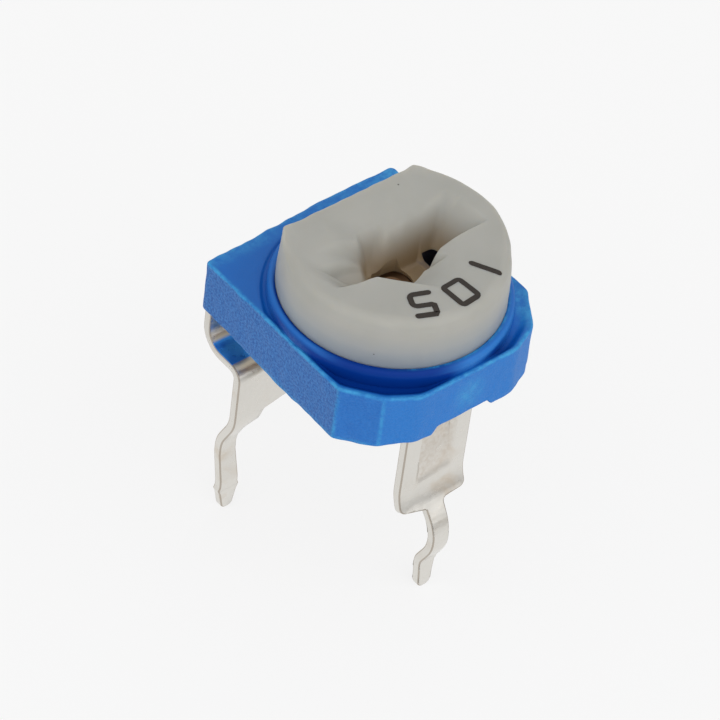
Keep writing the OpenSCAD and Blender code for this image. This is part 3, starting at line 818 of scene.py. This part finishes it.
# painted shade: deep navy in the groove, on the collar's front-left wall and on the left inner lip
colour = add(tree, "Mix", {0: groove.outputs["Fac"], 6: colour, 7: linear("#03368f")}, data_type="RGBA")
edge_scuffs_and_highlights = add(tree, "Attribute", {}, attribute_name="scuffs_and_highlights")
scuff_noise = add(tree, "TexNoise", {"Vector": place, "Scale": 4.0, "Detail": 6.0, "Roughness": 0.7})
scuffs = add(tree, "MapRange", {"Value": scuff_noise, "From Min": 0.4, "From Max": 0.6, "To Min": 0.25})
scuffed_and_lit = add(tree, "Math", {0: scuffs, 1: edge_scuffs_and_highlights.outputs["Fac"]}, operation="MULTIPLY")
# paler scuffs and painted highlights along the edges
colour = add(tree, "Mix", {0: scuffed_and_lit, 6: colour, 7: linear("#3c9fdb")}, data_type="RGBA")
relief_size = add(tree, "Math", {0: upright, 1: 0.7, 2: 0.12}, operation="MULTIPLY_ADD")
relief = add(tree, "Bump", {"Height": spark, "Strength": relief_size, "Distance": 0.03 * MM})
roughness = add(tree, "MapRange", {"Value": upright, "To Min": 0.38, "To Max": 0.55})
sheen = add(tree, "MapRange", {"Value": groove.outputs["Fac"], "To Min": 0.3, "To Max": 0.1})
shader = add(
    tree,
    "BsdfPrincipled",
    {
        "Base Color": colour,
        "Roughness": roughness,
        "IOR": 1.53,
        "Specular IOR Level": sheen,
        "Normal": relief,
    },
)
add(tree, "OutputMaterial", {"Surface": shader})
new_piece(bm, "housing_moulding", nylon, "base", "blue_moulding", "housing")

# ----------------------------------------------------------
# Rotor: a moulding in pale grey acetal with a soft-edged cross recess for the driver. One long
# arm has a slot through its floor, and the value code is printed round the face.
# ----------------------------------------------------------
FACE = rotor_high.z
RISE = FACE - TOP
FLAT_Y = 1.93
FOOT_Z = TOP + COLLAR_H / 2
EDGE_R = 0.27
HOLE_R = 0.54
UNDERSIDE = BASE_TOP + 0.63
LUG_LOW = rotor_low.z
LUG_HALF = math.radians(52)


def soft_least(a, b, width):
    """The lesser of two heights, with a rounded change between them."""
    share = min(max(0.5 + 0.5 * (b - a) / width, 0), 1)
    return b + (a - b) * share - width * share * (1 - share)


def soft_most(a, b, width):
    """The greater of two heights, with a rounded change between them."""
    return -soft_least(-a, -b, width)


def pit(x, y, floor, walls, width):
    """A pit's height above the housing's top. A wall is its way out (x, y), foot and slope."""
    height = floor
    for way_x, way_y, foot, slope in walls:
        height = soft_most(height, floor + slope * (way_x * x + way_y * y - foot), width)
    return height


def face_height(x, y):
    """The height of the rotor's face above the housing's top, with its recess of seven pits."""
    right_walls = [(0, -1, 0.38, 9), (0, 1, 0.26, 3.6), (1, 0.1, 1.5, 2.6), (-1, 0, 0.1, 1.2)]
    dish_walls = [(0, 1, 0.45, 0.75), (0, -1, 0.3, 3), (1, 0.1, 1.35, 0.9), (-1, 0, 0.2, 0.9)]
    left_walls = [(-0.18, -0.98, 0.66, 6), (-0.15, 0.99, -0.35, 0.8)]
    left_walls += [(-0.98, -0.2, 1.7, 2.0), (1, 0, 0.4, 3)]
    pocket_walls = [(0, 1, 0.58, 2.6), (1, 0, -0.15, 2.5), (-0.844, 0.536, 0.72, 5), (0, -1, 0, 4)]
    far_walls = [(0, 1, 0.7, 0.8), (1, -0.2, 0, 0.9), (-1, 0.1, 0.35, 1.0), (0, -1, 0.2, 3)]
    near_walls = [(0, -1, 0.95, 0.75), (0.73, -0.68, 0.7, 0.8), (-0.73, -0.68, 1.2, 5), (0, 1, 0.2, 3)]
    centre_walls = [(-0.844, 0.536, 0.62, 9), (-0.73, -0.68, 1.15, 9), (0, -1, 0.98, 9)]
    centre_walls += [(0.386, -0.922, 0.74, 9), (0, 1, 0.27, 3.6), (1, 0, 1.0, 3)]
    pits = (
        (pit(x, y, 1.35, near_walls, 0.18), 0.3),
        (pit(x, y, 1.25, dish_walls, 0.5), 0.5),
        (pit(x, y, 1.3, far_walls, 0.5), 0.5),
        (pit(x, y, 0.9, left_walls, 0.6), 0.5),
        (pit(x, y, 0.75, pocket_walls, 0.4), 0.5),
        (pit(x, y, 0.42, right_walls, 0.5), 0.9),
        (pit(x, y, 0.4 + 0.2 * smooth(0.1, 0.9, -x), centre_walls, 0.15), 0.15),
    )
    height = RISE
    for floor, rim in pits:
        height = soft_least(height, floor, rim)
    return height


def rounding(angle):
    """How far the face's edge is rounded: wide in front and on the left, crisp elsewhere."""
    crisp = smooth(0.35, 0.75, 0.8 * math.cos(angle) + 0.45 * math.sin(angle))
    crisp = max(crisp, 1 - smooth(0.1, 0.4, abs(angle - math.radians(137))))
    return EDGE_R * (1 - crisp) + 0.05 * crisp


def face_top(x, y):
    """The height of the face, with its rounded edge and its slight unevenness."""
    size = rounding(math.atan2(y, x))
    beyond = min(max(math.hypot(x, y) - RIM_R + size, 0), size)
    burr = sum(smooth(0.4, 0.05, math.dist((x, y), corner)) for corner in FLAT_CORNERS)
    level = TOP + face_height(x, y) + ragged((x, y, 0), 0.02, 1.3) + 0.05 * burr
    return level - size + math.sqrt(size**2 - beyond**2)


FLAT_CORNERS = ((-2.02, 1.93), (2.1, 1.88))
FACE_RINGS = 100
RIM_R = 2.82
edge_steps = 8
side_heights = (7.1, 6.95, 6.8, 6.6, 6.4, 6.2, 6.0, 5.9, FOOT_Z + 0.01)


def on_rotor(ring, angle):
    """A point of the rotor's surface, from its hole over the face and the side to the underside."""
    way_x, way_y = math.cos(angle), math.sin(angle)
    round_r = rounding(angle)
    face_r = RIM_R - round_r
    if ring == 0:
        radius, z = HOLE_R, UNDERSIDE
    elif ring <= FACE_RINGS:
        radius, z = HOLE_R + (face_r - HOLE_R) * (ring - 1) / (FACE_RINGS - 1), FACE
    elif ring <= FACE_RINGS + edge_steps:
        turn = math.pi / 2 * (ring - FACE_RINGS) / edge_steps
        radius, z = face_r + round_r * math.sin(turn), FACE - round_r * (1 - math.cos(turn))
    elif ring <= FACE_RINGS + edge_steps + len(side_heights):
        z = side_heights[ring - FACE_RINGS - edge_steps - 1]
        radius = RIM_R + (SIDE_R - RIM_R) * smooth(FACE, FOOT_Z + 0.4, z)
    else:
        low_rings = [
            (SIDE_R, FOOT_Z),
            (SIDE_R, TOP),
            (ROTOR_R, TOP - 0.05),
            (ROTOR_R, UNDERSIDE + 0.03),
            (ROTOR_R - 0.03, UNDERSIDE),
            (STOP_R + 0.005, UNDERSIDE),
            (STOP_R, UNDERSIDE),
            (HOLE_R, UNDERSIDE),
        ]
        index = ring - FACE_RINGS - edge_steps - len(side_heights) - 1
        radius, z = low_rings[index]
        if index in (3, 4, 5) and abs(angle + math.pi / 2) < LUG_HALF:
            z += LUG_LOW - UNDERSIDE
    on_face = 0 < ring <= FACE_RINGS + edge_steps
    rim_y = (RIM_R if on_face else SIDE_R) * way_y
    if z > FOOT_Z and rim_y > FLAT_Y:
        radius *= FLAT_Y / rim_y
    x, y = radius * way_x, radius * way_y
    if on_face:
        z = face_top(x, y)
        if rim_y > FLAT_Y:
            z -= 0.03 * smooth(FACE_RINGS, FACE_RINGS + edge_steps, ring)
    if ring >= FACE_RINGS and z > FOOT_Z + 0.2:
        x += ragged((x, y, z), 0.015, 2.1)
        y += ragged((y, z, x), 0.02, 3.1)
    return x, y, z


ring_count = FACE_RINGS + edge_steps + len(side_heights) + 9
bm = lofted(ring_count, 540, on_rotor)
SLOT_SIZE = (0.87, 0.84, 1.3)
SLOT_MID = (1.585, 0, UNDERSIDE + 0.3)
slot = bmesh.new()
bmesh.ops.create_cube(slot, size=1)
bmesh.ops.scale(slot, vec=SLOT_SIZE, verts=slot.verts[:])
upright_edges = [e for e in slot.edges if abs(e.verts[0].co.z - e.verts[1].co.z) > 0.5]
bmesh.ops.bevel(
    slot, geom=upright_edges, offset=0.1, segments=4, profile=0.5, affect="EDGES", material=-1
)
bmesh.ops.translate(slot, verts=slot.verts[:], vec=SLOT_MID)
combine(bm, slot, "DIFFERENCE")
PEG_X, PEG_R = 0.8, 0.13
for side in (-1, 1):
    combine(bm, rod(side * PEG_X, 0, UNDERSIDE - 0.1, UNDERSIDE + 0.05, PEG_R, 24), "UNION")

# Pale grey acetal: satin and faintly translucent, with 1.2 mm clouds, a 0.05 mm grain and a few
# specks. The deep of the recess carries painted warm shade and the slot painted dark shade, and down
# the side towards the collar it is painted cooler, as shade and bluish bounce light from the housing.
acetal, tree, place = new_material("moulded_grey_acetal")
cloud = add(tree, "TexNoise", {"Vector": place, "Scale": 0.8, "Detail": 4.0})
colour = add(tree, "Mix", {0: cloud, 6: linear("#aaaaa3"), 7: linear("#b8b7b1")}, data_type="RGBA")
spot = add(tree, "SeparateXYZ", {0: place})
at_z = spot.outputs["Z"]
depth = add(
    tree,
    "MapRange",
    {"Value": at_z, "From Min": FACE - 0.2, "From Max": FACE - 1.35},
    interpolation_type="SMOOTHSTEP",
)
across = add(tree, "VectorMath", {0: place, 1: (1.0, 1.0, 0.0)}, operation="MULTIPLY")
from_axis = add(tree, "VectorMath", {0: across}, operation="LENGTH")
in_recess = add(tree, "MapRange", {"Value": from_axis, "From Min": 2.6, "From Max": 2.3})
off_flat = add(tree, "MapRange", {"Value": spot.outputs["Y"], "From Min": 1.85, "From Max": 1.75})
in_recess = add(tree, "Math", {0: in_recess, 1: off_flat}, operation="MULTIPLY")
# painted shade: the deep of the recess is drawn warm brown
recess_painted_shade = add(tree, "Math", {0: depth, 1: in_recess}, operation="MULTIPLY")
colour = add(tree, "Mix", {0: recess_painted_shade, 6: colour, 7: linear("#978163")}, data_type="RGBA")
# painted shade and bounce light: the lower side is drawn cooler and darker, and bluer still by the
# collar
low = add(tree, "MapRange", {"Value": at_z, "From Min": FACE - 0.5, "From Max": TOP + 0.7})
outer = add(tree, "MapRange", {"Value": from_axis, "From Min": 2.5, "From Max": 2.7})
side_painted_bounce = add(tree, "Math", {0: low, 1: outer}, operation="MULTIPLY")
colour = add(tree, "Mix", {0: side_painted_bounce, 6: colour, 7: linear("#a3a7a9")}, data_type="RGBA")
lowest = add(tree, "MapRange", {"Value": at_z, "From Min": TOP + 0.85, "From Max": TOP + 0.35})
collar_painted_bounce = add(tree, "Math", {0: lowest, 1: side_painted_bounce}, operation="MULTIPLY")
colour = add(tree, "Mix", {0: collar_painted_bounce, 6: colour, 7: linear("#8e979f")}, data_type="RGBA")
# painted shade: the slot and the arm's floor round it are drawn dark
in_slot = add(tree, "MapRange", {"Value": at_z, "From Min": TOP + 0.44, "From Max": TOP + 0.36})
off_centre = add(tree, "MapRange", {"Value": from_axis, "From Min": 1.0, "From Max": 1.05})
slot_painted_shade = add(tree, "Math", {0: in_slot, 1: off_centre}, operation="MULTIPLY")
slot_painted_shade = add(tree, "Math", {0: slot_painted_shade, 1: in_recess}, operation="MULTIPLY")
colour = add(tree, "Mix", {0: slot_painted_shade, 6: colour, 7: linear("#4c4a58")}, data_type="RGBA")
specks = add(tree, "TexVoronoi", {"Vector": place, "Scale": 1.1})
speck = add(tree, "MapRange", {"Value": specks, "From Min": 0.035, "From Max": 0.02})
colour = add(tree, "Mix", {0: speck, 6: colour, 7: linear("#5d5a52")}, data_type="RGBA")
fine = add(tree, "TexNoise", {"Vector": place, "Scale": 20.0, "Detail": 3.0})
relief = add(tree, "Bump", {"Height": fine, "Strength": 0.2, "Distance": 0.01 * MM})
shader = add(
    tree,
    "BsdfPrincipled",
    {
        "Base Color": colour,
        "Roughness": 0.5,
        "IOR": 1.48,
        "Subsurface Weight": 0.6,
        "Subsurface Radius": (1.0, 0.85, 0.65),
        "Subsurface Scale": 0.35 * MM,
        "Normal": relief,
    },
)
add(tree, "OutputMaterial", {"Surface": shader})
new_piece(bm, "rotor_moulding", acetal, "rotor", "rotor_moulding", "rotor")

# The value code on the face, in plain strokes of dark ink. Each digit's top points outwards.
INK_W = 0.15
INK_T = 0.012
INK_STEP = 0.04
DIGIT_H = 0.72
DIGIT_FOOT_R = 1.83


def ribbon(points, closed):
    """A flat band of ink along a path, in short steps and with its ends rounded."""
    path = Path(points + points[:1] if closed else points)
    total = path.lengths[-1]
    steps = math.ceil(total / INK_STEP)

    def on_band(side, angle):
        step = round((angle / math.tau + 0.5) * steps)
        length = total * (step % steps if closed else step) / steps
        to_end = INK_W / 2 if closed else min(length, total - length, INK_W / 2)
        half = max(0.2 * INK_W, math.sqrt(INK_W * to_end - to_end**2))
        point = path.at(length, (2 * side - 1) * half)
        return point.x, point.y, 0

    return lofted(2, steps, on_band)


def digit_point(angle, across, up):
    """A point of a digit that stands with its foot inwards, at an angle round the face."""
    out = Vector((math.cos(angle), math.sin(angle)))
    aside = Vector((-out.y, out.x))
    return out * (DIGIT_FOOT_R + up) - aside * across


five = math.radians(-113)
zero = math.radians(-85)
one = math.radians(-57)
five_corners = [
    (-0.3, 0, 0),
    (0.26, 0, 0.12),
    (0.26, 0.4, 0.12),
    (-0.26, 0.4, 0.01),
    (-0.26, DIGIT_H, 0.01),
    (0.3, DIGIT_H, 0),
]
zero_corners = [(-0.27, 0, 0.08), (0.27, 0, 0.08), (0.27, DIGIT_H, 0.08), (-0.27, DIGIT_H, 0.08)]
one_points = [(-0.03, -0.02), (0, DIGIT_H / 2), (0.03, DIGIT_H + 0.12)]
strokes = [
    ([digit_point(five, p.x, p.y) for p in rounded(five_corners)], False),
    ([digit_point(zero, p.x, p.y) for p in rounded(zero_corners, closed=True)], True),
    ([digit_point(one, across, up) for across, up in one_points], False),
]
ink_mesh = bmesh.new()
for points, closed in strokes:
    band = ribbon(points, closed)
    part = bpy.data.meshes.new("band")
    band.to_mesh(part)
    band.free()
    ink_mesh.from_mesh(part)
made = bmesh.ops.extrude_face_region(ink_mesh, geom=ink_mesh.faces[:])["geom"]
top_verts = {v for v in made if isinstance(v, bmesh.types.BMVert)}
for v in ink_mesh.verts:
    v.co.z = face_top(v.co.x, v.co.y) + (INK_T / 2 if v in top_verts else -0.02)

# Dark brown printing ink: thin, matt and uneven over 0.1 mm.
ink, tree, place = new_material("printed_brown_ink")
uneven = add(tree, "TexNoise", {"Vector": place, "Scale": 12.0, "Detail": 4.0})
colour = add(tree, "Mix", {0: uneven, 6: linear("#130f0c"), 7: linear("#34291f")}, data_type="RGBA")
shader = add(tree, "BsdfPrincipled", {"Base Color": colour, "Roughness": 0.6, "IOR": 1.5})
add(tree, "OutputMaterial", {"Surface": shader})
new_piece(ink_mesh, "value_code", ink, "rotor", "rotor_moulding")

# ----------------------------------------------------------
# Wiper spring: a stamping of phosphor bronze that turns with the rotor. Two fingers bend down
# from its hub and press on the track.
# ----------------------------------------------------------
# Phosphor bronze: warm and bright, with the lines of rolled strip, 0.025 mm apart.
bronze, tree, place = new_material("phosphor_bronze_strip")
drawn = add(tree, "VectorMath", {0: place, 1: (40.0, 2.0, 2.0)}, operation="MULTIPLY")
lines = add(tree, "TexNoise", {"Vector": drawn, "Scale": 1.0, "Detail": 3.0})
colour = add(tree, "Mix", {0: lines, 6: linear("#b08a5c"), 7: linear("#caa578")}, data_type="RGBA")
shader = add(tree, "BsdfPrincipled", {"Base Color": colour, "Metallic": 1.0, "Roughness": 0.32})
add(tree, "OutputMaterial", {"Surface": shader})
finish_with("wiper_spring", bronze)

# ----------------------------------------------------------
# The studio: a floor of white card that fades into a pale backdrop, a soft tent of light with two
# lamps, and the camera. None of it belongs to the object.
# ----------------------------------------------------------
PALE = "#f7f7f7"
bm = bmesh.new()
bmesh.ops.create_grid(bm, x_segments=1, y_segments=1, size=1.5)
bmesh.ops.translate(bm, verts=bm.verts[:], vec=(0, 0, cad_box[0].z))
floor_mesh = bpy.data.meshes.new("floor")
bm.to_mesh(floor_mesh)
bm.free()
floor = put("floor", floor_mesh)
floor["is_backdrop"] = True

# White card: plain and pale, with only a faint shadow, as pale as the backdrop from 120 mm out.
white_card, tree, place = new_material("white_card")
rays = add(tree, "LightPath", {})
card = add(tree, "BsdfDiffuse", {"Color": linear(PALE)})
reach_out = add(tree, "VectorMath", {0: place}, operation="LENGTH")
mirrored = add(
    tree,
    "MapRange",
    {"Value": reach_out, "From Min": 8, "From Max": 30, "To Min": 1, "To Max": 0.45},
)
strength = add(tree, "Mix", {0: rays.outputs["Is Glossy Ray"], 2: 1.0, 3: mirrored})
far_off = add(tree, "MapRange", {"Value": reach_out, "From Min": 30, "From Max": 120})
card_glow = add(tree, "Mix", {0: far_off, 6: linear("#fdfdfd"), 7: linear(PALE)}, data_type="RGBA")
glow = add(tree, "Emission", {"Color": card_glow, "Strength": strength})
share = add(tree, "MapRange", {"Value": far_off, "To Min": 0.78, "To Max": 1.0})
seen = add(tree, "Math", {0: rays.outputs["Is Camera Ray"], 1: share}, operation="MULTIPLY")
seen = add(tree, "Math", {0: seen, 1: rays.outputs["Is Glossy Ray"]}, operation="MAXIMUM")
mixed = add(tree, "MixShader", {0: seen, 1: card, 2: glow})
add(tree, "OutputMaterial", {"Surface": mixed})
floor_mesh.materials.append(white_card)

world = bpy.data.worlds.new("soft_tent")
bpy.context.scene.world = world
world.use_nodes = True
tree = world.node_tree
tree.nodes.clear()
rays = add(tree, "LightPath", {})
direct = rays.outputs["Is Camera Ray"]
for kind in ("Is Glossy Ray", "Is Transmission Ray"):
    direct = add(tree, "Math", {0: direct, 1: rays.outputs[kind]}, operation="MAXIMUM")
direction = add(tree, "TexCoord", {})
upward = add(tree, "SeparateXYZ", {0: direction.outputs["Generated"]})
tent = add(
    tree, "MapRange", {"Value": upward.outputs["Z"], "From Min": 0.0, "From Max": 0.8, "To Min": 0.4}
)
shown = add(tree, "Mix", {0: rays.outputs["Is Camera Ray"], 2: tent, 3: 1.0})
strength = add(tree, "Mix", {0: direct, 2: 0.68, 3: shown})
sky = add(tree, "Background", {"Color": linear(PALE), "Strength": strength})
add(tree, "OutputWorld", {"Surface": sky})


def way_to(azimuth, elevation):
    """The direction of a place round the object, in degrees from the front and from the floor."""
    a, e = math.radians(azimuth), math.radians(elevation)
    return Vector((math.sin(a) * math.cos(e), -math.cos(a) * math.cos(e), math.sin(e)))


def lamp(name, azimuth, elevation, distance, size, power):
    """A square soft lamp that faces the object."""
    data = bpy.data.lights.new(name, "AREA")
    data.size = size
    data.energy = power
    made = put(name, data)
    back = way_to(azimuth, elevation)
    made.location = back * distance
    made.visible_camera = False
    made.rotation_euler = back.to_track_quat("Z", "Y").to_euler()


lamp("key_lamp", 8, 30, 0.5, 0.7, 1.05)
lamp("fill_lamp", -85, 30, 0.5, 0.6, 0.6)

# The camera: a long lens, seen from the left front and from above, with a slight roll.
CAMERA_DISTANCE = 108.38
AIM_LEFT, AIM_DOWN = 0.751, 1.619
back = way_to(-44.41, 44.93)
roll = math.radians(8.01)
level = Vector((0, 0, 1)).cross(back).normalized()
steep = back.cross(level)
right = level * math.cos(roll) + steep * math.sin(roll)
up = steep * math.cos(roll) - level * math.sin(roll)
aim = Vector((0, 0, TOP)) - right * AIM_LEFT - up * AIM_DOWN
facing_object = Matrix((right, up, back)).transposed().to_4x4()
camera_data = bpy.data.cameras.new("camera")
camera_data.lens = 219.8
camera_data.sensor_width = 36
camera_data.clip_start = 0.001
camera_data.clip_end = 10
camera = put("camera", camera_data)
camera.matrix_world = Matrix.Translation((aim + back * CAMERA_DISTANCE) * MM) @ facing_object
bpy.context.scene.camera = camera
bpy.context.scene.view_settings.view_transform = "Standard"

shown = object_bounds()
